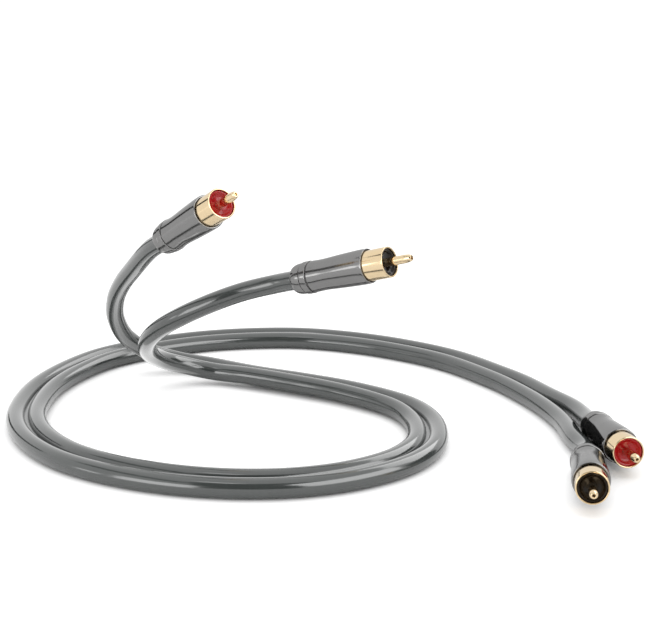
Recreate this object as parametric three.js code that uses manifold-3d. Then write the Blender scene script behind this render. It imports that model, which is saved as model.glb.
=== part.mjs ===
// Stereo audio lead: two round coaxial legs bonded side by side, with a phono plug on each of the four ends.
// Millimetres, +Z up. The lead lies on the plane Z = 0, and two of its plugs stand clear of that plane,
// carried by the stiffness of their own legs. The origin is under the middle of the four plugs.
import * as THREE from 'three';
import { mergeVertices } from 'three/addons/utils/BufferGeometryUtils.js';
import Module from 'manifold-3d';

const wasm = await Module();
wasm.setup();

// Fits
const SLIP = 0.3; // clearance between pieces that push into each other
const SHUT = 0.3; // gap left where two end faces meet

// The lead
const LEG_DIAMETER = 6.6;
const LEG_SPACING = 7.2; // between the two axes, where the legs are bonded
const LEG_SIDES = 10;
const LEG_STEPS = 52;
const BOND_THICKNESS = 1.6;
const BOND_BITE = 0.6; // how far the bonding strip reaches into each jacket
const BOND_STEPS = 44;
const JACKET_IN_PLUG = 14; // jacket length inside a plug
const STRAIGHT_TAIL = 9; // leg left straight behind a plug
const DIELECTRIC_DIAMETER = 3.4;
const DIELECTRIC_LENGTH = 4;
const CONDUCTOR_DIAMETER = 1;

// The plug, measured along its axis from the rear face of the cap
const PLUG_LENGTH = 37.2; // to the rim of the collar
const SHELL_END = 29.4;
const CAP_LENGTH = 4.1;
const SPIGOT_LENGTH = 5.2; // of the cap, inside the shell
const BAND_LENGTH = 2.4; // raised band at the rear of the shell
const GROOVE_WIDTH = 0.4;
const WAIST_AT = 11.5;
const FULL_AT = 26.8;
const EDGE = 0.25; // chamfer on the outer edges of the shell
const CAP_MOUTH_GAP = 0.4; // from the cap's bore to the start of its dome
const CAP_MOUTH_DEPTH = 0.8;
const DOME_SHARE = 0.75; // of the cap's length that its dome takes

// Diameters of the plug. The rear of the shell is as wide as the leg, its clamp and a wall.
const CLAMP_WALL = 0.6;
const SHELL_BORE = LEG_DIAMETER + 2 * (SLIP + CLAMP_WALL + SLIP);
const GROOVE_WALL = 0.45;
const WAIST_WALL = 0.725;
const WAIST_SWELL = 0.1; // by which the shell is thicker at the groove than at the waist
const BAND_WALL = 1;
const BAND_DIAMETER = SHELL_BORE + 2 * BAND_WALL;
const CAP_STEP = 0.3; // by which the band stands out past the cap
const CAP_DIAMETER = BAND_DIAMETER - 2 * CAP_STEP;
const WAIST_DIAMETER = SHELL_BORE + 2 * WAIST_WALL;
const SHELL_DIAMETER = 11.6;
const SHELL_DRAW = 0.05; // by which the shell narrows again towards its mouth
const COLLAR_DIAMETER = 10.1;
const COLLAR_BORE = 8.7;
const COLLAR_LIP = 0.2; // chamfer on both edges of the rim

// Inside the plug
const COLLAR_SEAT = 30.6; // ledge that the insulator seats on
const COLLAR_IN_SHELL = 2.6; // full-width length of the collar hidden in the shell's mouth
const SLEEVE_START = 16; // rear end of the collar's long sleeve
const SLEEVE_WALL = 0.8;
const FACE_RECESS = 1; // rim to the edge of the insulator
const DISH_DEPTH = 0.9; // of the insulator's face, at the pin
const DISH_SHARE = 0.7; // of that depth, half-way to the pin
const DISC_EDGE = 0.2;
const STEM_LENGTH = 7;

// Centre pin
const PIN_DIAMETER = 3.1;
const PIN_REACH = 8.3; // past the rim of the collar
const NOSE_LENGTH = 2.4;
const NOSE_SHARE = 0.9; // of the pin's radius, half-way along the nose
const TIP_DIAMETER = 1.7;
const HOLE_DIAMETER = 1;
const HOLE_DEPTH = 3;
const CUP_START = 20;
const CUP_DEPTH = 3;

const SEGMENTS = { shell: 24, collar: 24, cap: 24, insulator: 20, clamp: 16, pin: 16, core: 10 };

// Where the four plugs lie: rear point in plan, and the heading of the pin in degrees.
// A plug without a height rests on the plane on the rear edge of its band.
const PLUGS = {
  raised_red: { x: -74.8, y: 42.5, z: 65.3, yaw: -48.9, pitch: 27.7, insulator: 0x9c1a1c },
  raised_black: { x: -30.4, y: 40.7, z: 52.3, yaw: -31.9, pitch: 16.4, insulator: 0x2b211a },
  floor_red: { x: 69.4, y: 29.5, yaw: -84, pitch: 6, insulator: 0x9c1a1c },
  floor_black: { x: 61.7, y: -0.8, yaw: -98, pitch: 7, insulator: 0x2b211a },
};

// Midline of the bonded pair in plan, from the raised end to the end that lies down, with the height
// by which the inner leg rides over the outer one.
const PAIR_ROUTE = [
  [-49.3, 87.5, 1.6], [-30.3, 78.2, 1.4], [-11.8, 67.6, 1], [5.5, 52.4, 0.5], [11.9, 39.4, 0], [13.3, 25.1, 0],
  [10.7, 11.8, 0], [2.6, -1, 0], [-12.1, -11.8, 0], [-28.3, -17.5, 0], [-43.3, -18.9, 0], [-58.8, -17.4, 0],
  [-74.8, -12.9, 0], [-91.3, -4.9, 0], [-105.3, 6.1, 0], [-117.3, 22.6, 0], [-123.9, 40.6, 0], [-125.5, 59.1, 0],
  [-123.6, 77.1, 0], [-117.3, 95.7, 0], [-107.7, 111.8, 0], [-91.6, 125.2, 0], [-73.4, 134.7, 0],
  [-52.3, 139.8, 0], [-31.3, 140.1, 0], [-10.8, 134.2, 0], [9.1, 123.7, 0], [28.1, 108.3, 0], [44.5, 85.8, 0],
];

// The outer leg ends in the red plugs and the inner leg in the black ones. Rising runs from the raised
// plug down to the pair, resting runs from the pair to the plug that lies down.
const LEGS = [
  {
    side: -1,
    from: 'raised_red',
    rising: [
      [-88.4, 61.6, 50.8], [-93.5, 70.4, 43.8], [-97.6, 79.6, 35.6], [-99.3, 88.6, 26], [-96.8, 96.1, 16.5],
      [-89.1, 101.2, 9.1], [-77.8, 103.1, 5], [-65.3, 100.6, 3.6],
    ],
    resting: [[53.2, 78.6, 3.3], [59.7, 64.6, 3.3], [66.2, 49.6, 3.7]],
    to: 'floor_red',
  },
  {
    side: 1,
    from: 'raised_black',
    rising: [
      [-48.8, 47.6, 46.5], [-59.3, 47.8, 42.7], [-70.3, 49.8, 37.3], [-78.8, 55.1, 31.2], [-84, 62.6, 24.5],
      [-85.1, 72.1, 17.5], [-81.3, 81.4, 11.8], [-73.8, 87.5, 7.7], [-63.1, 88.9, 4.9],
    ],
    resting: [[46.7, 74.6, 3.3], [54.7, 56.1, 3.3], [59.7, 38.1, 3.3], [61.2, 20.1, 3.6]],
    to: 'floor_black',
  },
];

const JACKET = new THREE.MeshStandardMaterial({ color: 0x70767a, roughness: 0.3, metalness: 0 });
const LACQUER = new THREE.MeshStandardMaterial({ color: 0x828284, roughness: 0.3, metalness: 0.4 });
const GOLD = new THREE.MeshStandardMaterial({ color: 0xe9c59a, roughness: 0.2, metalness: 1 });
const CRIMP = new THREE.MeshStandardMaterial({ color: 0xb9bcc0, roughness: 0.35, metalness: 1 });
const FOAM = new THREE.MeshStandardMaterial({ color: 0xe8e8e4, roughness: 0.6, metalness: 0 });
const COPPER = new THREE.MeshStandardMaterial({ color: 0xb87352, roughness: 0.35, metalness: 1 });

// A solid of revolution about +Z from [radius, height] pairs that run forwards along its outside.
function revolve(profile, segments) {
  const points = profile.map(([radius, height]) => new THREE.Vector2(radius, height));
  const geometry = new THREE.LatheGeometry(points, segments);
  geometry.rotateX(Math.PI / 2);
  return geometry;
}

// A ring closes its profile on itself.
function ring(profile, segments) {
  return revolve([...profile, profile[0]], segments);
}

// Points of a smooth flank through a few [radius, height] pairs.
function flank(pairs, count) {
  const curve = new THREE.SplineCurve(pairs.map(([radius, height]) => new THREE.Vector2(radius, height)));
  return curve.getPoints(count).map((point) => [point.x, point.y]);
}

// A quarter of an ellipse in a profile, from [from, start] to [to, end], leaving square to the axis.
function dome(from, start, to, end, count) {
  return Array.from({ length: count + 1 }, (_, index) => {
    const angle = (index / count) * (Math.PI / 2);
    return [from + (to - from) * Math.sin(angle), start + (end - start) * (1 - Math.cos(angle))];
  });
}

// Rear cap: a dome with a spigot that pushes into the shell, bored for the leg.
function capGeometry() {
  const bore = LEG_DIAMETER / 2 + SLIP;
  const mouth = bore + CAP_MOUTH_GAP;
  const spigot = SHELL_BORE / 2 - SLIP;
  const outer = CAP_DIAMETER / 2;
  return ring([
    ...dome(mouth, 0, outer, CAP_LENGTH * DOME_SHARE, 5),
    [outer, CAP_LENGTH],
    [spigot, CAP_LENGTH],
    [spigot, CAP_LENGTH + SPIGOT_LENGTH],
    [bore, CAP_LENGTH + SPIGOT_LENGTH],
    [bore, CAP_MOUTH_DEPTH],
  ], SEGMENTS.cap);
}

// Shell: a turned barrel with a band and a groove at the rear, a waist, and a counterbored mouth.
function shellGeometry() {
  const start = CAP_LENGTH + SHUT;
  const bandEnd = start + BAND_LENGTH;
  const grooveEnd = bandEnd + GROOVE_WIDTH;
  const band = BAND_DIAMETER / 2;
  const full = SHELL_DIAMETER / 2;
  const mouth = COLLAR_DIAMETER / 2 + SLIP;
  const groove = SHELL_BORE / 2 + GROOVE_WALL;
  const sides = flank([
    [WAIST_DIAMETER / 2 + WAIST_SWELL, grooveEnd + EDGE],
    [WAIST_DIAMETER / 2, WAIST_AT],
    [(WAIST_DIAMETER + SHELL_DIAMETER) / 4 + SHELL_DRAW, (WAIST_AT + FULL_AT) / 2],
    [full, FULL_AT],
    [full - SHELL_DRAW, SHELL_END - EDGE],
  ], 8);
  return ring([
    [SHELL_BORE / 2, start],
    [band - EDGE, start],
    [band, start + EDGE],
    [band, bandEnd - EDGE],
    [band - EDGE, bandEnd],
    [groove, bandEnd],
    [groove, grooveEnd],
    ...sides,
    [full - SHELL_DRAW - EDGE, SHELL_END],
    [mouth, SHELL_END],
    [mouth, SHELL_END - COLLAR_IN_SHELL - SHUT],
    [SHELL_BORE / 2, SHELL_END - COLLAR_IN_SHELL - SHUT],
  ], SEGMENTS.shell);
}

// Ground collar: the open barrel that grips a socket, with a long sleeve inside the shell.
function collarGeometry() {
  const outer = COLLAR_DIAMETER / 2;
  const bore = COLLAR_BORE / 2;
  const shoulder = SHELL_END - COLLAR_IN_SHELL;
  const sleeve = SHELL_BORE / 2 - SLIP;
  return ring([
    [sleeve - SLEEVE_WALL, SLEEVE_START],
    [sleeve, SLEEVE_START],
    [sleeve, shoulder],
    [outer, shoulder],
    [outer, PLUG_LENGTH - COLLAR_LIP],
    [outer - COLLAR_LIP, PLUG_LENGTH],
    [bore + COLLAR_LIP, PLUG_LENGTH],
    [bore, PLUG_LENGTH - COLLAR_LIP],
    [bore, COLLAR_SEAT],
    [sleeve - SLEEVE_WALL, COLLAR_SEAT],
  ], SEGMENTS.collar);
}

// Insulator: a dished disc on a stem, bored for the pin.
function insulatorGeometry() {
  const bore = PIN_DIAMETER / 2 + SLIP;
  const disc = COLLAR_BORE / 2 - SLIP;
  const stem = SHELL_BORE / 2 - SLIP - SLEEVE_WALL - SLIP;
  const seat = COLLAR_SEAT + SHUT;
  const face = PLUG_LENGTH - FACE_RECESS;
  return ring([
    [bore, seat - STEM_LENGTH],
    [stem, seat - STEM_LENGTH],
    [stem, seat],
    [disc, seat],
    [disc, face - DISC_EDGE],
    [disc - DISC_EDGE, face],
    [(disc + bore) / 2, face - DISH_DEPTH * DISH_SHARE],
    [bore, face - DISH_DEPTH],
  ], SEGMENTS.insulator);
}

// Centre pin: a rounded nose with a blind hole in front, and a solder cup behind.
function pinGeometry() {
  const tip = PLUG_LENGTH + PIN_REACH;
  const radius = PIN_DIAMETER / 2;
  const cup = CONDUCTOR_DIAMETER / 2 + SLIP;
  return revolve([
    [0, CUP_START + CUP_DEPTH],
    [cup, CUP_START + CUP_DEPTH],
    [cup, CUP_START],
    [radius, CUP_START],
    [radius, tip - NOSE_LENGTH],
    [radius * NOSE_SHARE, tip - NOSE_LENGTH / 2],
    [TIP_DIAMETER / 2, tip],
    [HOLE_DIAMETER / 2, tip],
    [HOLE_DIAMETER / 2, tip - HOLE_DEPTH],
    [0, tip - HOLE_DEPTH],
  ], SEGMENTS.pin);
}

// Cable clamp: a crimped ring round the jacket, between the cap's spigot and the collar's sleeve.
function clampGeometry() {
  const start = CAP_LENGTH + SPIGOT_LENGTH + SHUT;
  const bore = LEG_DIAMETER / 2 + SLIP;
  const outer = bore + CLAMP_WALL;
  const end = SLEEVE_START - SHUT;
  return ring([[bore, start], [outer, start], [outer, end], [bore, end]], SEGMENTS.clamp);
}

// A plain rod of the stripped end of a leg.
function rodGeometry(diameter, start, end) {
  return revolve([[0, start], [diameter / 2, start], [diameter / 2, end], [0, end]], SEGMENTS.core);
}

// Direction of a plug's pin.
function heading({ yaw, pitch }) {
  const [turn, rise] = [THREE.MathUtils.degToRad(yaw), THREE.MathUtils.degToRad(pitch)];
  return new THREE.Vector3(Math.cos(turn) * Math.cos(rise), Math.sin(turn) * Math.cos(rise), Math.sin(rise));
}

// Rear point of a plug. One that lies down touches the plane with the rear edge of its band.
function rear({ x, y, z, pitch }) {
  const rise = THREE.MathUtils.degToRad(pitch);
  const touch = CAP_LENGTH + SHUT + EDGE;
  return new THREE.Vector3(x, y, z ?? (BAND_DIAMETER / 2) * Math.cos(rise) - touch * Math.sin(rise));
}

// Point on a plug's axis, at a distance in front of its rear point.
function alongAxis(place, distance) {
  return rear(place).addScaledVector(heading(place), distance);
}

// Places pieces modelled along +Z on a plug's axis, with a vertex of each ring straight below it.
function placed(place) {
  const forward = heading(place);
  const up = new THREE.Vector3(0, 0, 1).addScaledVector(forward, -forward.z).normalize();
  const side = new THREE.Vector3().crossVectors(up, forward);
  const group = new THREE.Group();
  group.setRotationFromMatrix(new THREE.Matrix4().makeBasis(side, up, forward));
  group.position.copy(rear(place));
  return group;
}

function mesh(name, geometry, material) {
  const piece = new THREE.Mesh(geometry, material);
  piece.name = name;
  return piece;
}

// One plug with the stripped end of its leg.
function plug(name, place) {
  const plastic = new THREE.MeshStandardMaterial({ color: place.insulator, roughness: 0.35, metalness: 0 });
  const dielectricStart = JACKET_IN_PLUG + SHUT;
  const conductorStart = dielectricStart + DIELECTRIC_LENGTH + SHUT;
  const conductorEnd = CUP_START + CUP_DEPTH - SHUT;
  const group = placed(place);
  group.add(
    mesh(`${name}_rear_cap`, capGeometry(), LACQUER),
    mesh(`${name}_shell`, shellGeometry(), LACQUER),
    mesh(`${name}_ground_collar`, collarGeometry(), GOLD),
    mesh(`${name}_insulator`, insulatorGeometry(), plastic),
    mesh(`${name}_center_pin`, pinGeometry(), GOLD),
    mesh(`${name}_cable_clamp`, clampGeometry(), CRIMP),
    mesh(`${name}_dielectric_end`, rodGeometry(DIELECTRIC_DIAMETER, dielectricStart,
      dielectricStart + DIELECTRIC_LENGTH), FOAM),
    mesh(`${name}_conductor_end`, rodGeometry(CONDUCTOR_DIAMETER, conductorStart, conductorEnd), COPPER),
  );
  return group;
}

function smooth(points) {
  return new THREE.CatmullRomCurve3(points, false, 'centripetal');
}

// The pair's midline, at half the height by which the inner leg rides over the outer one.
function pairMidline() {
  return PAIR_ROUTE.map(([x, y, lift]) => new THREE.Vector3(x, y, (LEG_DIAMETER + lift) / 2));
}

// Where a leg runs along the pair: beside the midline, square to its direction in plan.
function besideMidline(side) {
  const midline = pairMidline();
  const curve = smooth(midline);
  return midline.map((point, index) => {
    const along = curve.getTangent(index / (midline.length - 1));
    const across = new THREE.Vector3(along.y, -along.x, 0).setLength(LEG_SPACING / 2);
    const height = LEG_DIAMETER / 2 + (side > 0 ? PAIR_ROUTE[index][2] : 0);
    return point.clone().addScaledVector(across, side).setZ(height);
  });
}

// Centreline of a leg, from the end of its jacket in one plug to that in the other.
function legCurve({ side, from, rising, resting, to }) {
  const [first, last] = [PLUGS[from], PLUGS[to]];
  return smooth([
    alongAxis(first, JACKET_IN_PLUG),
    alongAxis(first, 0),
    alongAxis(first, -STRAIGHT_TAIL),
    ...rising.map((point) => new THREE.Vector3(...point)),
    ...besideMidline(side),
    ...resting.map((point) => new THREE.Vector3(...point)),
    alongAxis(last, -STRAIGHT_TAIL),
    alongAxis(last, 0),
    alongAxis(last, JACKET_IN_PLUG),
  ]);
}

// Regular polygon of a leg's section.
function roundSection() {
  const corners = Array.from({ length: LEG_SIDES }, (_, index) => {
    const angle = (index / LEG_SIDES) * 2 * Math.PI;
    return new THREE.Vector2(Math.cos(angle), Math.sin(angle)).multiplyScalar(LEG_DIAMETER / 2);
  });
  return new THREE.Shape(corners);
}

// Section of the strip between the jackets. Along a level path its X axis stands upright.
function bondSection() {
  const [tall, wide] = [BOND_THICKNESS / 2, (LEG_SPACING - LEG_DIAMETER) / 2 + BOND_BITE];
  return new THREE.Shape([[-tall, -wide], [tall, -wide], [tall, wide], [-tall, wide]]
    .map(([x, y]) => new THREE.Vector2(x, y)));
}

function sweep(section, curve, steps) {
  return new THREE.ExtrudeGeometry(section, { extrudePath: curve, steps, bevelEnabled: false });
}

function toSolid(geometry) {
  const bare = geometry.clone();
  bare.deleteAttribute('normal');
  bare.deleteAttribute('uv');
  const merged = mergeVertices(bare, 1e-5);
  return new wasm.Manifold(new wasm.Mesh({
    numProp: 3,
    vertProperties: new Float32Array(merged.attributes.position.array),
    triVerts: new Uint32Array(merged.index.array),
  }));
}

function toGeometry(solid) {
  const { vertProperties, triVerts } = solid.getMesh();
  const geometry = new THREE.BufferGeometry();
  geometry.setAttribute('position', new THREE.BufferAttribute(vertProperties, 3));
  geometry.setIndex(new THREE.BufferAttribute(triVerts, 1));
  geometry.computeVertexNormals();
  return geometry;
}

// The twin lead: both legs, joined by the strip where they run side by side.
function twinCable() {
  const strip = toSolid(sweep(bondSection(), smooth(pairMidline()), BOND_STEPS));
  const legs = LEGS.map((leg) => toSolid(sweep(roundSection(), legCurve(leg), LEG_STEPS)));
  const joined = legs.reduce((whole, leg) => whole.add(leg), strip);
  return mesh('twin_cable', toGeometry(joined), JACKET);
}

const lead = new THREE.Group();
lead.add(twinCable());
for (const [name, place] of Object.entries(PLUGS)) {
  lead.add(plug(name, place));
}

export default lead;
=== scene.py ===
"""Looks of a stereo audio lead: twin grey jackets in a loose loop, with a gold-plated phono plug on each end.

Metres, +Z up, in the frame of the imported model. A plug is worked out along its own axis, from the rear
face of its cap to the tip of its pin, and then carried to where it lies.
"""
from __future__ import annotations

import logging
import math
from dataclasses import dataclass
from enum import Enum
from typing import Sequence

import bmesh
import bpy
import numpy as np
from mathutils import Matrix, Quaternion, Vector


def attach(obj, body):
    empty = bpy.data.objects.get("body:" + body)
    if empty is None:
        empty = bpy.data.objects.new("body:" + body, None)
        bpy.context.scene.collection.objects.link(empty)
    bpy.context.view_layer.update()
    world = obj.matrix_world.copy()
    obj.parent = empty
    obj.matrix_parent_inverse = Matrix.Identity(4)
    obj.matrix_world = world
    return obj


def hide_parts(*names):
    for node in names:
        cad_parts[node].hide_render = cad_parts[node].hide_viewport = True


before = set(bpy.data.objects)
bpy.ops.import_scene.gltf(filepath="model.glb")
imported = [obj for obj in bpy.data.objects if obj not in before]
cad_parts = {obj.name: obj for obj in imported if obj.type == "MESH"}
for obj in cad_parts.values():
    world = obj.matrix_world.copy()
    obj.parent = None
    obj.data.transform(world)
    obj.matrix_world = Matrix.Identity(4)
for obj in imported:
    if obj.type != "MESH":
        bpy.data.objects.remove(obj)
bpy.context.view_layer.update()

LOG = logging.getLogger("audio_lead")
MM = 0.001
BODY = "root"
MERGE_DISTANCE = 1e-7
FLAT_EDGE = 1e-8
SHARP_ANGLE = 40
# Two noises added together mostly lie between these.
QUIET, LOUD = .7, 1.3

# Midline of the bonded pair in plan, from the raised end to the end that lies down, with the height
# by which the inner leg rides over the outer one.
PAIR_ROUTE = [
    (-.0493, .0875, .0016), (-.0303, .0782, .0014), (-.0118, .0676, .001), (.0055, .0524, .0005),
    (.0119, .0394, 0), (.0133, .0251, 0), (.0107, .0118, 0), (.0026, -.001, 0), (-.0121, -.0118, 0),
    (-.0283, -.0175, 0), (-.0433, -.0189, 0), (-.0588, -.0174, 0), (-.0748, -.0129, 0), (-.0913, -.0049, 0),
    (-.1053, .0061, 0), (-.1173, .0226, 0), (-.1239, .0406, 0), (-.1255, .0591, 0), (-.1236, .0771, 0),
    (-.1173, .0957, 0), (-.1077, .1118, 0), (-.0916, .1252, 0), (-.0734, .1347, 0), (-.0523, .1398, 0),
    (-.0313, .1401, 0), (-.0108, .1342, 0), (.0091, .1237, 0), (.0281, .1083, 0), (.0445, .0858, 0),
]


class Colour(Enum):
    """Base colours, linear RGB."""

    JACKET = (.050, .056, .054)
    LACQUER = (.245, .243, .241)
    GOLD = (.80, .63, .40)
    RED = (.43, .010, .012)
    BLACK = (.011, .007, .004)
    STEEL = (.55, .56, .58)
    FOAM = (.78, .78, .74)
    COPPER = (.75, .34, .20)
    PAPER = (.9, .9, .9)


@dataclass(frozen=True)
class Place:
    """Where a plug lies: its axis's rear point in plan, its heading, and its height if it stands clear."""

    x: float
    y: float
    yaw: float
    pitch: float
    z: float | None = None

    def heading(self) -> np.ndarray:
        """Unit direction of the pin."""
        turn, rise = math.radians(self.yaw), math.radians(self.pitch)
        return np.array([math.cos(turn) * math.cos(rise), math.sin(turn) * math.cos(rise), math.sin(rise)])

    def rear(self, touch_radius: float, touch_at: float) -> np.ndarray:
        """Rear point. A plug with no height lies on the edge of its band.

        Args:
            touch_radius: radius of the band.
            touch_at: distance from the rear point to the edge that touches.

        Returns:
            The point, in metres.
        """
        rise = math.radians(self.pitch)
        height = touch_radius * math.cos(rise) - touch_at * math.sin(rise) if self.z is None else self.z
        return np.array([self.x, self.y, height])

    def basis(self) -> np.ndarray:
        """Rows are the side, up and forward axes of the plug."""
        forward = self.heading()
        up = np.array([0, 0, 1.0]) - forward * forward[2]
        up /= np.linalg.norm(up)
        return np.array([np.cross(up, forward), up, forward])


@dataclass(frozen=True)
class LegRoute:
    """One leg: the side of the pair it runs on, its plugs, and its points outside the pair."""

    name: str
    side: int
    start: str
    rising: tuple
    resting: tuple
    end: str


PLACES = {
    "raised_red": Place(x=-.0748, y=.0425, z=.0653, yaw=-48.9, pitch=27.7),
    "raised_black": Place(x=-.0304, y=.0407, z=.0523, yaw=-31.9, pitch=16.4),
    "floor_red": Place(x=.0694, y=.0295, yaw=-84, pitch=6),
    "floor_black": Place(x=.0617, y=-.0008, yaw=-98, pitch=7),
}

LEGS = (
    LegRoute(
        "outer_leg", -1, "raised_red",
        ((-.0884, .0616, .0508), (-.0935, .0704, .0438), (-.0976, .0796, .0356), (-.0993, .0886, .026),
         (-.0968, .0961, .0165), (-.0891, .1012, .0091), (-.0778, .1031, .005), (-.0653, .1006, .0036)),
        ((.0532, .0786, .0033), (.0597, .0646, .0033), (.0662, .0496, .0037)),
        "floor_red",
    ),
    LegRoute(
        "inner_leg", 1, "raised_black",
        ((-.0488, .0476, .0465), (-.0593, .0478, .0427), (-.0703, .0498, .0373), (-.0788, .0551, .0312),
         (-.084, .0626, .0245), (-.0851, .0721, .0175), (-.0813, .0814, .0118), (-.0738, .0875, .0077),
         (-.0631, .0889, .0049)),
        ((.0467, .0746, .0033), (.0547, .0561, .0033), (.0597, .0381, .0033), (.0612, .0201, .0036)),
        "floor_black",
    ),
)


class Graph:
    """A small hand for building a node tree."""

    def __init__(self, tree: bpy.types.NodeTree) -> None:
        """Starts with an empty tree."""
        self.tree = tree
        tree.nodes.clear()

    def node(self, kind: str, **values: object) -> bpy.types.Node:
        """Adds a node.

        Args:
            kind: the node's type name.
            values: its properties, or its inputs' values, with underscores for the spaces in their names.

        Returns:
            The node.
        """
        made = self.tree.nodes.new(kind)
        for key, value in values.items():
            if hasattr(made, key):
                setattr(made, key, value)
            else:
                made.inputs[key.replace("_", " ")].default_value = value
        return made

    def link(self, source: bpy.types.NodeSocket, target: bpy.types.NodeSocket) -> None:
        """Joins an output to an input."""
        self.tree.links.new(source, target)

    def ramp(self, source: bpy.types.NodeSocket, low: float, high: float) -> bpy.types.NodeSocket:
        """Maps a factor from 0..1 to low..high and gives the result's socket."""
        made = self.node("ShaderNodeMapRange", To_Min=low, To_Max=high)
        self.link(source, made.inputs["Value"])
        return made.outputs["Result"]

    def noise(self, vector: bpy.types.NodeSocket, scale: float, stretch: Sequence[float],
              detail: float = 4) -> bpy.types.NodeSocket:
        """Noise over stretched coordinates.

        Args:
            vector: the coordinates.
            scale: noise scale.
            stretch: what each coordinate is multiplied by.
            detail: octaves.

        Returns:
            The noise's factor.
        """
        mapping = self.node("ShaderNodeMapping")
        mapping.inputs["Scale"].default_value = stretch
        self.link(vector, mapping.inputs["Vector"])
        made = self.node("ShaderNodeTexNoise", Scale=scale, Detail=detail)
        self.link(mapping.outputs["Vector"], made.inputs["Vector"])
        return made.outputs["Fac"]


@dataclass(frozen=True)
class Finish:
    """A finish whose grain follows the UV map: U in metres and V once round, on a turned piece."""

    name: str
    slot: str
    colour: Colour
    roughness: float
    metallic: float = 0.0
    ior: float = 1.5
    coat: float = 0.0
    coat_roughness: float = .1
    edge: float = 1.0
    tint_spread: float = .06
    rough_spread: float = .05
    grain_scale: float = 1.0
    grain_stretch: tuple = (60.0, 900.0, 1.0)
    bump: float = .00001
    cloud_scale: float = 60.0

    def material(self) -> bpy.types.Material:
        """Builds the material.

        Returns:
            The material: cloudy tint from the object's coordinates, fine grain from its UV map.
        """
        made = bpy.data.materials.new(self.name)
        made.use_nodes = True
        graph = Graph(made.node_tree)
        out = graph.node("ShaderNodeOutputMaterial")
        shader = graph.node("ShaderNodeBsdfPrincipled")
        shader.inputs["Metallic"].default_value = self.metallic
        shader.inputs["IOR"].default_value = self.ior
        shader.inputs["Specular Tint"].default_value = (self.edge, self.edge, self.edge, 1)
        shader.inputs["Coat Weight"].default_value = self.coat
        shader.inputs["Coat Roughness"].default_value = self.coat_roughness
        graph.link(shader.outputs["BSDF"], out.inputs["Surface"])
        where = graph.node("ShaderNodeTexCoord")
        cloud = graph.noise(where.outputs["Object"], self.cloud_scale, (1, 1, 1))
        grain = graph.noise(where.outputs["UV"], self.grain_scale, self.grain_stretch)
        self._tint(graph, shader, cloud, grain)
        self._roughness(graph, shader, cloud, grain)
        bump = graph.node("ShaderNodeBump", Strength=1.0, Distance=self.bump)
        graph.link(grain, bump.inputs["Height"])
        graph.link(bump.outputs["Normal"], shader.inputs["Normal"])
        return made

    def _tint(self, graph: Graph, shader: bpy.types.Node, cloud: bpy.types.NodeSocket,
              grain: bpy.types.NodeSocket) -> None:
        """Varies the colour by the cloud and the grain about its mean."""
        both = graph.node("ShaderNodeMath", operation="ADD")
        graph.link(cloud, both.inputs[0])
        graph.link(grain, both.inputs[1])
        level = graph.node("ShaderNodeMapRange", To_Min=1 - self.tint_spread, To_Max=1 + self.tint_spread)
        level.inputs["From Min"].default_value = QUIET
        level.inputs["From Max"].default_value = LOUD
        graph.link(both.outputs["Value"], level.inputs["Value"])
        scaled = graph.node("ShaderNodeVectorMath", operation="SCALE")
        scaled.inputs[0].default_value = self.colour.value
        graph.link(level.outputs["Result"], scaled.inputs["Scale"])
        graph.link(scaled.outputs["Vector"], shader.inputs["Base Color"])

    def _roughness(self, graph: Graph, shader: bpy.types.Node, cloud: bpy.types.NodeSocket,
                   grain: bpy.types.NodeSocket) -> None:
        """Varies the roughness by the grain over the cloud."""
        mixed = graph.node("ShaderNodeMix", data_type="FLOAT")
        mixed.inputs[0].default_value = .5
        graph.link(cloud, mixed.inputs[2])
        graph.link(grain, mixed.inputs[3])
        low, high = max(self.roughness - self.rough_spread, .02), self.roughness + self.rough_spread
        graph.link(graph.ramp(mixed.outputs[0], low, high), shader.inputs["Roughness"])


JACKET = Finish("extruded_grey_vinyl", "jacket", Colour.JACKET, .16, ior=1.62, coat=1.0, tint_spread=.06,
                rough_spread=.05, grain_stretch=(900, 30, 1), bump=.000004)
LACQUER = Finish("grey_lacquer", "shell", Colour.LACQUER, .14, metallic=.95, edge=.75, tint_spread=.04,
                 rough_spread=.04, grain_stretch=(9000, 1, 1), bump=.000001)
GOLD = Finish("gold_plate", "gold", Colour.GOLD, .12, metallic=1, edge=.9, tint_spread=.03, rough_spread=.05,
              grain_stretch=(12000, 2, 1), bump=.000001)
RED = Finish("red_moulding", "red_plastic", Colour.RED, .12, ior=1.42, tint_spread=.06, rough_spread=.04,
             grain_stretch=(2500, 3, 1), bump=.0000005)
BLACK = Finish("black_moulding", "black_plastic", Colour.BLACK, .12, ior=1.32, tint_spread=.1,
               rough_spread=.04, grain_stretch=(2500, 3, 1), bump=.0000005)
STEEL = Finish("crimped_metal", "clamp", Colour.STEEL, .3, metallic=1, grain_stretch=(9000, 2, 1))
FOAM = Finish("foamed_insulation", "dielectric", Colour.FOAM, .6, grain_stretch=(6000, 30, 1), bump=.00002)
COPPER = Finish("bare_copper", "copper", Colour.COPPER, .3, metallic=1, grain_stretch=(3000, 12, 1))


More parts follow.
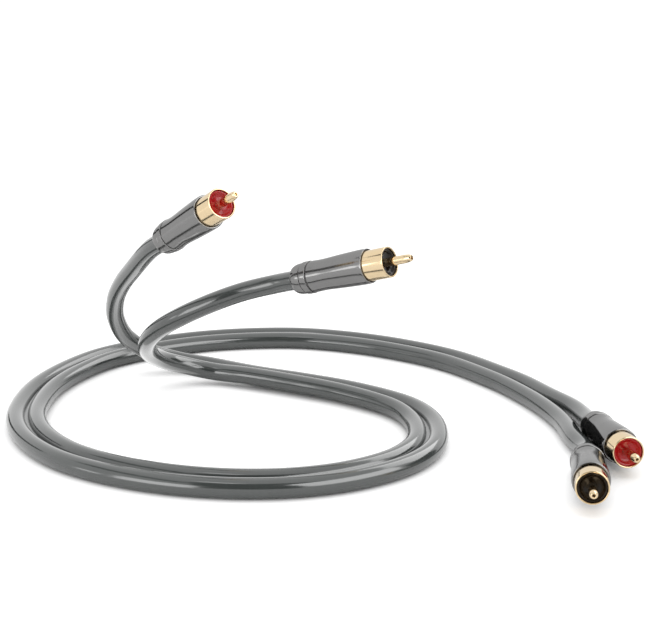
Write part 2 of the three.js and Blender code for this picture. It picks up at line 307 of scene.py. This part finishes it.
def rounded(outline: Sequence[tuple], closed: bool, steps: int = 5) -> np.ndarray:
    """Rounds the corners of an outline: each corner is swapped for a parabola tangent to both of its sides.

    Args:
        outline: (radius, height, fillet) of each corner. The fillet is how much of each side it takes.
        closed: whether the last corner joins the first.
        steps: intervals in each fillet.

    Returns:
        The points, as an array of [radius, height].
    """
    corners = np.array([corner[:2] for corner in outline], float)
    count = len(corners)
    points = []
    for index, corner in enumerate(outline):
        here = corners[index]
        fillet = corner[2] if len(corner) > 2 else 0
        if not fillet or (not closed and index in (0, count - 1)):
            points.append(here[None])
            continue
        before, after = corners[index - 1] - here, corners[(index + 1) % count] - here
        reach = [min(fillet, .5 * np.linalg.norm(side)) for side in (before, after)]
        ends = [here + side / np.linalg.norm(side) * far for side, far in zip((before, after), reach)]
        t = np.linspace(0, 1, steps + 1)[:, None]
        points.append((1 - t) ** 2 * ends[0] + 2 * t * (1 - t) * here + t ** 2 * ends[1])
    return np.vstack(points)


def spline(points: np.ndarray, per: int) -> np.ndarray:
    """A centripetal Catmull-Rom curve: cubic spans whose knots are spaced by the square root of the chords.

    Args:
        points: what the curve goes through.
        per: intervals in each span.

    Returns:
        The points of the curve.
    """
    ends = np.vstack([2 * points[0] - points[1], points, 2 * points[-1] - points[-2]])
    p0, p1, p2, p3 = (ends[i:len(ends) - 3 + i, None] for i in range(4))
    chords = ((p0, p1), (p1, p2), (p2, p3))
    d0, d1, d2 = (np.linalg.norm(b - a, axis=2, keepdims=True) ** .5 for a, b in chords)
    leave = ((p1 - p0) / d0 - (p2 - p0) / (d0 + d1) + (p2 - p1) / d1) * d1
    arrive = ((p2 - p1) / d1 - (p3 - p1) / (d1 + d2) + (p3 - p2) / d2) * d1
    t = np.linspace(0, 1, per, endpoint=False)[None, :, None]
    square, cube = 3 * (p2 - p1) - 2 * leave - arrive, 2 * (p1 - p2) + leave + arrive
    cubic = p1 + leave * t + square * t ** 2 + cube * t ** 3
    return np.vstack([cubic.reshape(-1, points.shape[1]), points[-1:]])


def evenly(curve: np.ndarray, step: float) -> np.ndarray:
    """Resamples a curve at even distances.

    Args:
        curve: its points.
        step: about how far apart the new points are.

    Returns:
        The new points.
    """
    along = np.concatenate([[0], np.cumsum(np.linalg.norm(np.diff(curve, axis=0), axis=1))])
    wanted = np.linspace(0, along[-1], int(round(along[-1] / step)) + 1)
    return np.column_stack([np.interp(wanted, along, axis) for axis in curve.T])


def length_of(curve: np.ndarray) -> float:
    """Length of a curve."""
    return float(np.linalg.norm(np.diff(curve, axis=0), axis=1).sum())


def crossing(curve: np.ndarray) -> tuple[np.ndarray, np.ndarray]:
    """Two unit directions square to a curve that never runs upright: level, and towards the sky."""
    tangent = np.gradient(curve, axis=0)
    tangent /= np.linalg.norm(tangent, axis=1, keepdims=True)
    level = np.cross(tangent, [0, 0, 1.0])
    level /= np.linalg.norm(level, axis=1, keepdims=True)
    return level, np.cross(level, tangent)


def surface(name: str, grid: np.ndarray, uv: np.ndarray, closed_rows: bool, capped: bool) -> bpy.types.Object:
    """Makes a piece from a grid of points whose columns close on themselves.

    Args:
        name: the piece's name.
        grid: points, as rows by columns by 3.
        uv: U of each row boundary and V of each column boundary, as a pair of arrays one longer where
            that direction closes.
        closed_rows: whether the last row joins the first.
        capped: whether the first and last rows are filled.

    Returns:
        The object, at the origin, its doubles merged and its faces pointing out.
    """
    rows, columns = grid.shape[:2]
    row = np.arange(rows if closed_rows else rows - 1)
    column = np.arange(columns)
    a, b = np.meshgrid(row, column, indexing="ij")
    a2, b2 = (a + 1) % rows, (b + 1) % columns
    faces = np.stack([a * columns + b, a2 * columns + b, a2 * columns + b2, a * columns + b2], -1)
    across, along = uv
    ring = ((a, b), (a + 1, b), (a + 1, b + 1), (a, b + 1))
    corners = np.stack([np.stack([along[i], across[j]], -1) for i, j in ring], 2)
    polygons = faces.reshape(-1, 4).tolist()
    if capped:
        polygons += [list(range(columns))[::-1], list(range((rows - 1) * columns, rows * columns))]
    mesh = bpy.data.meshes.new(name)
    mesh.from_pydata(grid.reshape(-1, 3).tolist(), [], polygons)
    layer = mesh.uv_layers.new(name="along")
    values = np.zeros((len(mesh.loops), 2))
    values[:corners.size // 2] = corners.reshape(-1, 2)
    layer.data.foreach_set("uv", values.ravel())
    tidy(mesh)
    piece = bpy.data.objects.new(name, mesh)
    bpy.context.scene.collection.objects.link(piece)
    return piece


def tidy(mesh: bpy.types.Mesh) -> None:
    """Merges doubles, drops faces with no area, turns the faces outwards and shades them smooth."""
    work = bmesh.new()
    work.from_mesh(mesh)
    bmesh.ops.remove_doubles(work, verts=work.verts, dist=MERGE_DISTANCE)
    bmesh.ops.dissolve_degenerate(work, edges=work.edges, dist=FLAT_EDGE)
    bmesh.ops.recalc_face_normals(work, faces=work.faces)
    work.to_mesh(mesh)
    work.free()
    mesh.shade_smooth()
    mesh.set_sharp_from_angle(angle=math.radians(SHARP_ANGLE))


def dress(piece: bpy.types.Object, finish: Finish, *nodes: str) -> bpy.types.Object:
    """Gives a piece its finish and its body, and hides the nodes that it stands for.

    Args:
        piece: the piece.
        finish: its finish.
        nodes: names of the nodes it replaces.

    Returns:
        The piece.
    """
    material = bpy.data.materials.get(finish.name) or finish.material()
    piece.data.materials.clear()
    piece.data.materials.append(material)
    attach(piece, BODY)
    if nodes:
        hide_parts(*nodes)
    LOG.info("%s: %d faces, %s", piece.name, len(piece.data.polygons), finish.name)
    return piece


@dataclass(frozen=True)
class Plug:
    """A phono plug, measured along its axis from the rear face of its cap.

    The slip is the clearance between two pieces, and the fit is a closer one that shows no gap. The bead
    round the insulator rises above its face: bead_top is how wide it is and bead_foot is where it ends.
    A name that ends in round, outside or inside is a fillet: how much of each side the corner takes. The
    nose's profile gives shares of the shaft's radius and of the nose's length behind the tip, and a fillet
    in millimetres.
    """

    name: str
    place: Place
    insulator: Finish
    length: float = 37.2 * MM
    shell_end: float = 29.4 * MM
    cap_length: float = 4.1 * MM
    spigot: float = 5.2 * MM
    band: float = 2.4 * MM
    band_round: float = .25 * MM
    groove_round: float = .08 * MM
    groove: float = .4 * MM
    waist_at: float = 11.5 * MM
    full_at: float = 26.8 * MM
    cap_radius: float = 5.2 * MM
    cap_lip: float = .4 * MM
    cap_round: float = .2 * MM
    dome_share: float = .75
    dome_steps: int = 15
    band_radius: float = 5.5 * MM
    groove_radius: float = 4.95 * MM
    waist_radius: float = 5.225 * MM
    shell_radius: float = 5.8 * MM
    shell_ease: float = .05 * MM
    shell_round: float = .35 * MM
    side_steps: int = 12
    collar_radius: float = 5.05 * MM
    shell_bore: float = 4.5 * MM
    collar_bore: float = 4.35 * MM
    mouth_flare: float = .2 * MM
    mouth_depth: float = 1.6 * MM
    lip_outside: float = .28 * MM
    lip_inside: float = .2 * MM
    collar_seat: float = 30.6 * MM
    collar_hidden: float = 2.6 * MM
    sleeve_start: float = 16 * MM
    sleeve_wall: float = .8 * MM
    recess: float = 1 * MM
    dish: float = .9 * MM
    dish_middle: float = .75
    dish_round: float = .8 * MM
    bead_rise: float = .35 * MM
    bead_top: float = .55 * MM
    bead_foot: float = .95 * MM
    bead_drop: float = .15 * MM
    bead_round: float = .3 * MM
    stem: float = 7 * MM
    pin_radius: float = 1.55 * MM
    pin_shaft: float = 1.4 * MM
    pin_reach: float = 8.3 * MM
    nose: float = 2.4 * MM
    nose_profile: tuple = ((1, 1, .5), (.92, .5, .5), (.78, .15, .3))
    tip_outside: float = .1 * MM
    tip_inside: float = .05 * MM
    tip_radius: float = .85 * MM
    tip_hole: float = .5 * MM
    hole_mouth: float = .5 * MM
    hole_depth: float = 3 * MM
    cup_start: float = 20 * MM
    cup_depth: float = 3 * MM
    wire_radius: float = .5 * MM
    clamp_round: float = .15 * MM
    foam_radius: float = 1.7 * MM
    foam_length: float = 4 * MM
    jacket_inside: float = 14 * MM
    slip: float = .3 * MM
    fit: float = .05 * MM
    leg_radius: float = 3.3 * MM
    segments: int = 96

    def rear(self) -> np.ndarray:
        """Rear point of the axis."""
        return self.place.rear(self.band_radius, self.cap_length + self.slip + self.band_round)

    def along(self, distance: float) -> np.ndarray:
        """Point on the axis at a distance from the rear point."""
        return self.rear() + self.place.heading() * distance

    def turned(self, part: str, outline: np.ndarray, closed: bool, finish: Finish) -> bpy.types.Object:
        """Turns an outline about the plug's axis: each point runs round a circle of its radius at its height.

        Args:
            part: which part it is.
            outline: points as [radius, height], from the rear forwards.
            closed: whether the outline is a ring's, which closes on itself.
            finish: its finish.

        Returns:
            The dressed piece, which stands for the node of the same name.
        """
        angle = np.linspace(0, 2 * math.pi, self.segments, endpoint=False)
        radius, height = outline[:, :1], outline[:, 1:]
        local = np.stack([radius * np.sin(angle), -radius * np.cos(angle), height + 0 * angle], -1)
        steps = np.linalg.norm(np.diff(np.vstack([outline, outline[:1]]), axis=0), axis=1)
        v = np.concatenate([[0], np.cumsum(steps)])
        u = np.linspace(0, 1, self.segments + 1)
        node = f"{self.name}_{part}"
        piece = surface(f"{node}_turned", local @ self.place.basis() + self.rear(), (u, v), closed, False)
        return dress(piece, finish, node)

    def cap(self) -> bpy.types.Object:
        """Rear cap: a quarter ellipse from the cable's mouth to the full radius, with a hidden spigot."""
        bore = self.leg_radius + self.slip
        quarter = np.linspace(0, math.pi / 2, self.dome_steps)
        mouth = bore + self.cap_lip
        end = self.dome_share * self.cap_length
        dome = [(mouth + (self.cap_radius - mouth) * math.sin(a), end * (1 - math.cos(a))) for a in quarter]
        spigot = self.shell_bore - self.slip
        outline = [*dome, (self.cap_radius, self.cap_length, self.cap_round), (spigot, self.cap_length),
                   (spigot, self.cap_length + self.spigot), (bore, self.cap_length + self.spigot),
                   (bore, 2 * self.cap_lip, self.cap_lip)]
        return self.turned("rear_cap", rounded(outline, True), True, LACQUER)

    def shell(self) -> bpy.types.Object:
        """Shell: band, groove, then a spline through the waist to the full radius, and a bored mouth."""
        start = self.cap_length + self.slip
        band_end = start + self.band
        groove_end = band_end + self.groove
        edge, ease, tight = self.band_round, self.shell_ease, self.groove_round
        mouth = self.collar_radius + .5 * self.slip
        deep = self.shell_end - self.collar_hidden - self.slip
        side = spline(np.array([
            (self.waist_radius + 2 * ease, groove_end + edge), (self.waist_radius, self.waist_at),
            ((self.waist_radius + self.shell_radius) / 2 + ease, (self.waist_at + self.full_at) / 2),
            (self.shell_radius, self.full_at), (self.shell_radius - ease, self.shell_end - 2 * edge),
        ]), self.side_steps)
        outline = [(self.shell_bore, start), (self.band_radius, start, edge),
                   (self.band_radius, band_end, edge), (self.groove_radius, band_end, tight),
                   (self.groove_radius, groove_end, 1.25 * tight),
                   *[tuple(point) for point in side],
                   (self.shell_radius - 2 * ease, self.shell_end, self.shell_round),
                   (mouth, self.shell_end, tight),
                   (mouth, deep), (self.shell_bore, deep)]
        return self.turned("shell", rounded(outline, True), True, LACQUER)

    def collar(self) -> bpy.types.Object:
        """Ground collar: a thin barrel with a flared mouth and a rounded lip, on a hidden sleeve."""
        sleeve = self.shell_bore - self.slip
        inner = sleeve - self.sleeve_wall
        flared, deep = self.collar_bore + self.mouth_flare, self.length - self.mouth_depth
        shoulder = self.shell_end - self.collar_hidden
        outline = [(inner, self.sleeve_start), (sleeve, self.sleeve_start), (sleeve, shoulder),
                   (self.collar_radius, shoulder), (self.collar_radius, self.length, self.lip_outside),
                   (flared, self.length, self.lip_inside), (flared, deep), (self.collar_bore, deep),
                   (self.collar_bore, self.collar_seat), (inner, self.collar_seat)]
        return self.turned("ground_collar", rounded(outline, True), True, GOLD)

    def disc(self) -> bpy.types.Object:
        """Insulator: a dished face with a rounded bead between the pin and the collar, on a stem."""
        bore = self.pin_shaft + .4 * self.fit
        body = self.collar_bore - self.fit
        edge = body + self.mouth_flare
        rim = self.length - self.mouth_depth + self.fit
        stem = self.shell_bore - self.slip - self.sleeve_wall - self.slip
        seat = self.collar_seat + self.slip
        face, soft = self.length - self.recess, self.bead_round
        crest = face + self.bead_rise
        outline = [(bore, seat - self.stem), (stem, seat - self.stem), (stem, seat), (body, seat),
                   (body, rim), (edge, rim), (edge, crest, soft), (edge - self.bead_top, crest, soft),
                   (edge - self.bead_foot, face - self.bead_drop, soft),
                   ((edge + bore) / 2, face - self.dish_middle * self.dish, self.dish_round),
                   (bore, face - self.dish)]
        return self.turned("insulator", rounded(outline, True), True, self.insulator)

    def pin(self) -> bpy.types.Object:
        """Centre pin: a rod with a rounded tip, whose hole widens inside, and a solder cup."""
        tip = self.length + self.pin_reach
        cup = self.cup_start + self.cup_depth
        cup_radius = self.wire_radius + self.slip
        neck = self.collar_seat + self.slip
        shaft, hole, hollow = self.pin_shaft, self.tip_hole, self.tip_radius
        bottom = tip - self.hole_depth
        nose = [(wide * shaft, tip - back * self.nose, soft * MM) for wide, back, soft in self.nose_profile]
        outline = [(0, cup), (cup_radius, cup), (cup_radius, self.cup_start),
                   (self.pin_radius, self.cup_start), (self.pin_radius, neck), (shaft, neck), *nose,
                   (self.tip_radius, tip, self.tip_outside), (hole, tip, self.tip_inside),
                   (hole, tip - self.hole_mouth), (hollow, tip - 2 * self.hole_mouth),
                   (hollow, bottom), (0, bottom)]
        return self.turned("center_pin", rounded(outline, False), False, GOLD)

    def inner_parts(self) -> list[bpy.types.Object]:
        """What the shell hides: the clamp round the jacket and the stripped end of the leg."""
        start = self.cap_length + self.spigot + self.slip
        end = self.sleeve_start - self.slip
        bore, outer, soft = self.leg_radius + self.slip, self.shell_bore - self.slip, self.clamp_round
        clamp = rounded([(bore, start), (outer, start, soft), (outer, end, soft), (bore, end)], True)
        foam_start = self.jacket_inside + self.slip
        foam_end = foam_start + self.foam_length
        wire_start, wire_end = foam_end + self.slip, self.cup_start + self.cup_depth - self.slip
        return [self.turned("cable_clamp", clamp, True, STEEL),
                self.turned("dielectric_end", self.rod(self.foam_radius, foam_start, foam_end), False, FOAM),
                self.turned("conductor_end", self.rod(self.wire_radius, wire_start, wire_end), False, COPPER)]

    @staticmethod
    def rod(radius: float, start: float, end: float) -> np.ndarray:
        """Outline of a plain rod between two heights."""
        return np.array([(0, start), (radius, start), (radius, end), (0, end)])

    def build(self) -> list[bpy.types.Object]:
        """Builds every part of the plug."""
        return [self.cap(), self.shell(), self.collar(), self.disc(), self.pin(), *self.inner_parts()]


@dataclass(frozen=True)
class TwinLead:
    """The two legs, and the strip that bonds them where they run side by side.

    The tail is how far each leg runs straight behind its plug, and bond_bite is how far the strip goes into
    each jacket. The strip is thinner in the middle by bond_hollow of its thickness.
    """

    plugs: dict
    radius: float = 3.3 * MM
    spacing: float = 7.2 * MM
    tail: float = 9 * MM
    bond_thickness: float = 1.6 * MM
    bond_bite: float = .6 * MM
    bond_hollow: float = .3
    bond_columns: int = 9
    sides: int = 40
    step: float = 1.5 * MM
    per_span: int = 24
    coarse: int = 16

    def midline(self) -> np.ndarray:
        """Points of the pair's midline, at half the height by which the inner leg rides over the outer."""
        route = np.array(PAIR_ROUTE)
        return np.column_stack([route[:, :2], self.radius + route[:, 2] / 2])

    def beside(self, side: int) -> np.ndarray:
        """Where a leg runs along the pair: half the spacing from the midline, square to it in plan."""
        middle = self.midline()
        level, _ = crossing(spline(middle, self.coarse))
        points = middle + side * self.spacing / 2 * level[::self.coarse]
        points[:, 2] = self.radius + (np.array(PAIR_ROUTE)[:, 2] if side > 0 else 0)
        return points

    def centreline(self, leg: LegRoute) -> np.ndarray:
        """The curve a leg follows, from inside its raised plug to inside the one that lies down."""
        first, last = self.plugs[leg.start], self.plugs[leg.end]
        inside = first.jacket_inside
        points = np.vstack([
            [first.along(inside), first.along(0), first.along(-self.tail)], leg.rising, self.beside(leg.side),
            leg.resting, [last.along(-self.tail), last.along(0), last.along(inside)],
        ])
        return self.smooth(points)

    def smooth(self, points: np.ndarray) -> np.ndarray:
        """A curve through the points, resampled at the lead's step."""
        return evenly(spline(points, self.per_span), self.step)

    def leg(self, leg: LegRoute) -> bpy.types.Object:
        """Args:
            leg: the leg's route.

        Returns:
            The piece.
        """
        line = self.centreline(leg)
        level, up = crossing(line)
        angle = np.linspace(0, 2 * math.pi, self.sides, endpoint=False)
        turn = np.cos(angle)[None, :, None] * level[:, None] + np.sin(angle)[None, :, None] * up[:, None]
        along = np.linspace(0, length_of(line), len(line))
        around = np.linspace(0, 2 * math.pi * self.radius, self.sides + 1)
        piece = surface(leg.name, line[:, None] + self.radius * turn, (around, along), False, True)
        dress(piece, JACKET, "twin_cable")
        tuple(self.plugs[leg.start].rear())
        return piece

    def bond(self) -> bpy.types.Object:
        """Sweeps the strip's section along the midline: two shallow hollows between the jackets."""
        line = self.smooth(self.midline())
        legs = [self.smooth(self.beside(side)) for side in (-1, 1)]
        gaps = [np.linalg.norm(leg[None] - line[:, None], axis=2) for leg in legs]
        outer, inner = (leg[np.argmin(gap, axis=1)] for leg, gap in zip(legs, gaps))
        across = inner - outer
        across /= np.linalg.norm(across, axis=1, keepdims=True)
        tangent = np.gradient(line, axis=0)
        up = np.cross(across, tangent)
        up /= np.linalg.norm(up, axis=1, keepdims=True)
        wide = (self.spacing - 2 * self.radius) / 2 + self.bond_bite
        tall = self.bond_thickness / 2
        side = np.linspace(-1, 1, self.bond_columns)
        hollow = tall * (1 - self.bond_hollow * (1 - side ** 2))
        top = np.column_stack([side * wide, hollow])
        section = np.concatenate([top, top[::-1] * (1, -1)])
        grid = line[:, None] + section[None, :, :1] * across[:, None] + section[None, :, 1:] * up[:, None]
        along = np.linspace(0, length_of(line), len(line))
        around = np.linspace(0, 4 * wide, len(section) + 1)
        return dress(surface("bonding_strip", grid, (around, along), False, True), JACKET, "twin_cable")

    def build(self) -> list[bpy.types.Object]:
        """Builds the legs and the strip."""
        return [*[self.leg(leg) for leg in LEGS], self.bond()]


@dataclass(frozen=True)
class Camera:
    """A camera on a level tripod, tipped down at the lead."""

    x: float = -.0193
    y: float = -.4089
    z: float = .162
    pitch: float = 15.4
    focal: float = 1380 / 660
    sensor: float = 36.0
    clip_start: float = .01

    def build(self) -> bpy.types.Object:
        """Makes the camera the scene's own. The focal length is given in widths of the frame."""
        data = bpy.data.cameras.new("camera")
        data.sensor_fit = "HORIZONTAL"
        data.sensor_width = self.sensor
        data.lens = self.focal * self.sensor
        data.clip_start = self.clip_start
        made = bpy.data.objects.new("camera", data)
        made.location = (self.x, self.y, self.z)
        made.rotation_euler = (math.radians(90 - self.pitch), 0, 0)
        bpy.context.scene.collection.objects.link(made)
        bpy.context.scene.camera = made
        return made


@dataclass(frozen=True)
class Board:
    """A flat panel that only reflections see: bright as a softbox, or dark as a flag.

    Its azimuth is positive to the viewer's right. The angles are in degrees, and the roll turns the panel
    about its middle. The tent's own brightness is about 1.
    """

    name: str
    azimuth: float
    elevation: float
    distance: float
    width: float
    height: float
    level: float
    roll: float = 0.0

    def build(self) -> bpy.types.Object:
        """Hangs the board square to the lead, at a bearing from the viewer and an angle above the floor."""
        turn, rise = math.radians(self.azimuth), math.radians(self.elevation)
        level = math.cos(rise)
        place = self.distance * Vector((math.sin(turn) * level, -math.cos(turn) * level, math.sin(rise)))
        facing = place.to_track_quat("Z", "Y") @ Quaternion((0, 0, 1), math.radians(self.roll))
        x, y = self.width / 2, self.height / 2
        corners = [(-x, -y, 0), (x, -y, 0), (x, y, 0), (-x, y, 0)]
        return reflected_only(self.name, corners, place, facing.to_euler(), self.level)


@dataclass(frozen=True)
class Card:
    """A thin card by the lead, which only reflections see: a dark card is painted shade, and a bright one a
    painted highlight, in the reflections of the pieces near it.

    Its length runs along the yaw. A lean of 0 lays it flat, and 90 degrees stands it on edge.
    """

    name: str
    x: float
    y: float
    yaw: float
    length: float = .045
    width: float = .004
    height: float = .003
    lean: float = 0.0
    level: float = .005

    def build(self) -> bpy.types.Object:
        """Sets the card about its middle."""
        turn, lean = math.radians(self.yaw), math.radians(self.lean)
        ahead = self.length / 2 * Vector((math.cos(turn), math.sin(turn), 0))
        side = Vector((-math.sin(turn), math.cos(turn), 0)) * math.cos(lean)
        aside = self.width / 2 * (side + Vector((0, 0, math.sin(lean))))
        corners = [tuple(i * ahead + j * aside) for i, j in ((-1, -1), (1, -1), (1, 1), (-1, 1))]
        return reflected_only(self.name, corners, (self.x, self.y, self.height), (0, 0, 0), self.level)


def reflected_only(name: str, corners: Sequence[tuple], place: Sequence[float], turn: Sequence[float],
                   level: float) -> bpy.types.Object:
    """Makes a flat panel of even brightness that reflections see, and neither the camera nor the light does.

    Args:
        name: the panel's name.
        corners: its four corners about its place.
        place: where it hangs.
        turn: its rotation, as Euler angles.
        level: its brightness.

    Returns:
        The panel.
    """
    mesh = bpy.data.meshes.new(name)
    mesh.from_pydata(corners, [], [(0, 1, 2, 3)])
    piece = bpy.data.objects.new(name, mesh)
    piece.location, piece.rotation_euler = place, turn
    bpy.context.scene.collection.objects.link(piece)
    made = bpy.data.materials.new(name)
    made.use_nodes = True
    graph = Graph(made.node_tree)
    out = graph.node("ShaderNodeOutputMaterial")
    glow = graph.node("ShaderNodeEmission", Strength=level)
    graph.link(glow.outputs["Emission"], out.inputs["Surface"])
    mesh.materials.append(made)
    piece.visible_camera = False
    piece.visible_diffuse = False
    piece.visible_shadow = False
    return piece


@dataclass(frozen=True)
class Studio:
    """A pale floor in an even white tent, one soft lamp overhead, and boards that only reflections see.

    The floor is lit paper out to near, measured from the origin, and plain white from far on. In view the
    paper is mixed with white by lift, less where something stands within reach of it, and glow is how
    bright that white is: that cut in the white, found by an occlusion test, is painted shade close to the
    lead over the paper's own lit shading. The boards are the tent's softboxes and flags, and the glossy
    jackets and shells show them as bright and dark bands. The cards are painted shade and a painted
    highlight: dark cards where the floor lies in shade by the plugs, and a bright one by the hook, seen in
    nearby reflections.
    """

    floor_size: float = 6.0
    white: float = 1.04
    glow: float = 1.62
    lift: float = .5
    reach: float = .02
    probes: int = 4
    near: float = .25
    far: float = .6
    day: float = .9
    key: float = 4.5
    key_size: tuple = (1.4, 1.0)
    key_place: tuple = (-.05, -.05, 1.1)
    boards: tuple = (
        Board("front_gap", -3, 37, 1.5, 1.34, 1.66, .02),
        Board("right_box", 52, 35, 1.3, 1.35, .9, 3.9),
        Board("left_box", -43.5, 13, 1.3, .7, .58, 3.8),
        Board("left_strip", -71, 8, 1.3, .25, .22, 3.0),
        Board("top_left_box", -40, 68, 1.2, .3, .12, 3.0),
        Board("right_gap", 105, 17, 1.2, .8, .46, .03),
        Board("rear_box", 130, 42, 1.2, 1.05, .66, 3.1),
        Board("left_gap", -127, 11, 1.2, .95, .13, .0, 33),
        Board("left_top_gap", -74, 50, 1.2, 1.0, .16, .03),
    )
    cards: tuple = (
        # Painted shade: dark cards under the raised black plug and between the plugs that lie down, seen only
        # in reflections, stand for the shade on the floor there.
        Card("raised_shade_card", -.0275, .0545, -31.9, .05, .008),
        Card("gap_shade_card", .0655, -.0040, -91, .044, .009),
        Card("gap_shade_wall", .0650, .0168, -84.5, .031, .010, .0054, 90),
        # Painted highlight: a bright card lying on the floor by the hook, seen only in reflections, lights up
        # the bend of the raised leg.
        Card("hook_highlight_card", -.0900, .0780, -20, .036, .026, .0005, level=1.7),
    )

    def build(self) -> None:
        """Makes the floor, the world, the lamp, the boards and the cards."""
        self.floor()
        self.world()
        self.lamp()
        for panel in (*self.boards, *self.cards):
            panel.build()

    def floor(self) -> bpy.types.Object:
        """A wide sheet of pale paper: white in view and in reflections, and shaded close to the lead, partly
        by its lit shading and partly by painted shade from an occlusion test.
        """
        half = self.floor_size / 2
        corners = [(-half, -half, 0), (half, -half, 0), (half, half, 0), (-half, half, 0)]
        mesh = bpy.data.meshes.new("floor")
        mesh.from_pydata(corners, [], [(0, 1, 2, 3)])
        piece = bpy.data.objects.new("floor", mesh)
        bpy.context.scene.collection.objects.link(piece)
        made = bpy.data.materials.new("pale_paper")
        made.use_nodes = True
        graph = Graph(made.node_tree)
        out = graph.node("ShaderNodeOutputMaterial")
        paper = graph.node("ShaderNodeBsdfDiffuse")
        paper.inputs["Color"].default_value = (*Colour.PAPER.value, 1)
        glow = graph.node("ShaderNodeEmission")
        mix = graph.node("ShaderNodeMixShader")
        away = self.away(graph)
        graph.link(graph.ramp(away, self.glow, self.white), glow.inputs["Strength"])
        lifted = graph.node("ShaderNodeMath", operation="MAXIMUM")
        graph.link(away, lifted.inputs[0])
        path = graph.node("ShaderNodeLightPath")
        # Painted shade: the occlusion test withholds the white lift where the lead stands close, so the floor
        # darkens beside and under it.
        clear = graph.node("ShaderNodeAmbientOcclusion", Distance=self.reach, samples=self.probes)
        lift = graph.node("ShaderNodeMath", operation="MULTIPLY")
        graph.link(graph.ramp(path.outputs["Is Camera Ray"], 0, self.lift), lift.inputs[0])
        graph.link(clear.outputs["AO"], lift.inputs[1])
        graph.link(lift.outputs["Value"], lifted.inputs[1])
        share = graph.node("ShaderNodeMath", operation="MULTIPLY")
        graph.link(seen_in(graph), share.inputs[0])
        graph.link(lifted.outputs["Value"], share.inputs[1])
        graph.link(share.outputs["Value"], mix.inputs[0])
        graph.link(paper.outputs["BSDF"], mix.inputs[1])
        graph.link(glow.outputs["Emission"], mix.inputs[2])
        graph.link(mix.outputs["Shader"], out.inputs["Surface"])
        mesh.materials.append(made)
        return piece

    def away(self, graph: Graph) -> bpy.types.NodeSocket:
        """0 on the floor near the lead, 1 beyond it."""
        where = graph.node("ShaderNodeTexCoord")
        distance = graph.node("ShaderNodeVectorMath", operation="LENGTH")
        graph.link(where.outputs["Object"], distance.inputs[0])
        step = graph.node("ShaderNodeMapRange", interpolation_type="SMOOTHSTEP")
        step.inputs["From Min"].default_value = self.near
        step.inputs["From Max"].default_value = self.far
        graph.link(distance.outputs["Value"], step.inputs["Value"])
        return step.outputs["Result"]

    def world(self) -> None:
        """An even white sky, full strength in view and in reflections, dimmer as a light."""
        world = bpy.data.worlds.new("sky")
        bpy.context.scene.world = world
        world.use_nodes = True
        graph = Graph(world.node_tree)
        out = graph.node("ShaderNodeOutputWorld")
        sky = graph.node("ShaderNodeBackground", Color=(1, 1, 1, 1))
        graph.link(graph.ramp(seen_in(graph), self.day, self.white), sky.inputs["Strength"])
        graph.link(sky.outputs["Background"], out.inputs["Surface"])

    def lamp(self) -> bpy.types.Object:
        """Hangs the soft lamp that lights the lead. Reflections see the boards in its place."""
        data = bpy.data.lights.new("top_box", "AREA")
        data.shape = "RECTANGLE"
        data.size, data.size_y = self.key_size
        data.energy = self.key
        made = bpy.data.objects.new("top_box", data)
        made.location = self.key_place
        made.visible_glossy = False
        bpy.context.scene.collection.objects.link(made)
        return made


def seen_in(graph: Graph) -> bpy.types.NodeSocket:
    """1 where a ray comes from the camera, a mirror or a clear piece, and 0 for light."""
    path = graph.node("ShaderNodeLightPath")
    either = graph.node("ShaderNodeMath", operation="MAXIMUM")
    graph.link(path.outputs["Is Camera Ray"], either.inputs[0])
    graph.link(path.outputs["Is Glossy Ray"], either.inputs[1])
    whole = graph.node("ShaderNodeMath", operation="MAXIMUM")
    graph.link(either.outputs["Value"], whole.inputs[0])
    graph.link(path.outputs["Is Transmission Ray"], whole.inputs[1])
    return whole.outputs["Value"]


def main() -> None:
    """Builds the camera, the plugs, the lead and the studio."""
    logging.basicConfig(level=logging.INFO, format="%(message)s")
    bpy.context.scene.view_settings.view_transform = "Standard"
    Camera().build()
    finishes = {"red": RED, "black": BLACK}
    plugs = {name: Plug(name, place, finishes[name.split("_")[1]]) for name, place in PLACES.items()}
    for plug in plugs.values():
        plug.build()
    TwinLead(plugs).build()
    Studio().build()


if __name__ == "__main__":
    main()
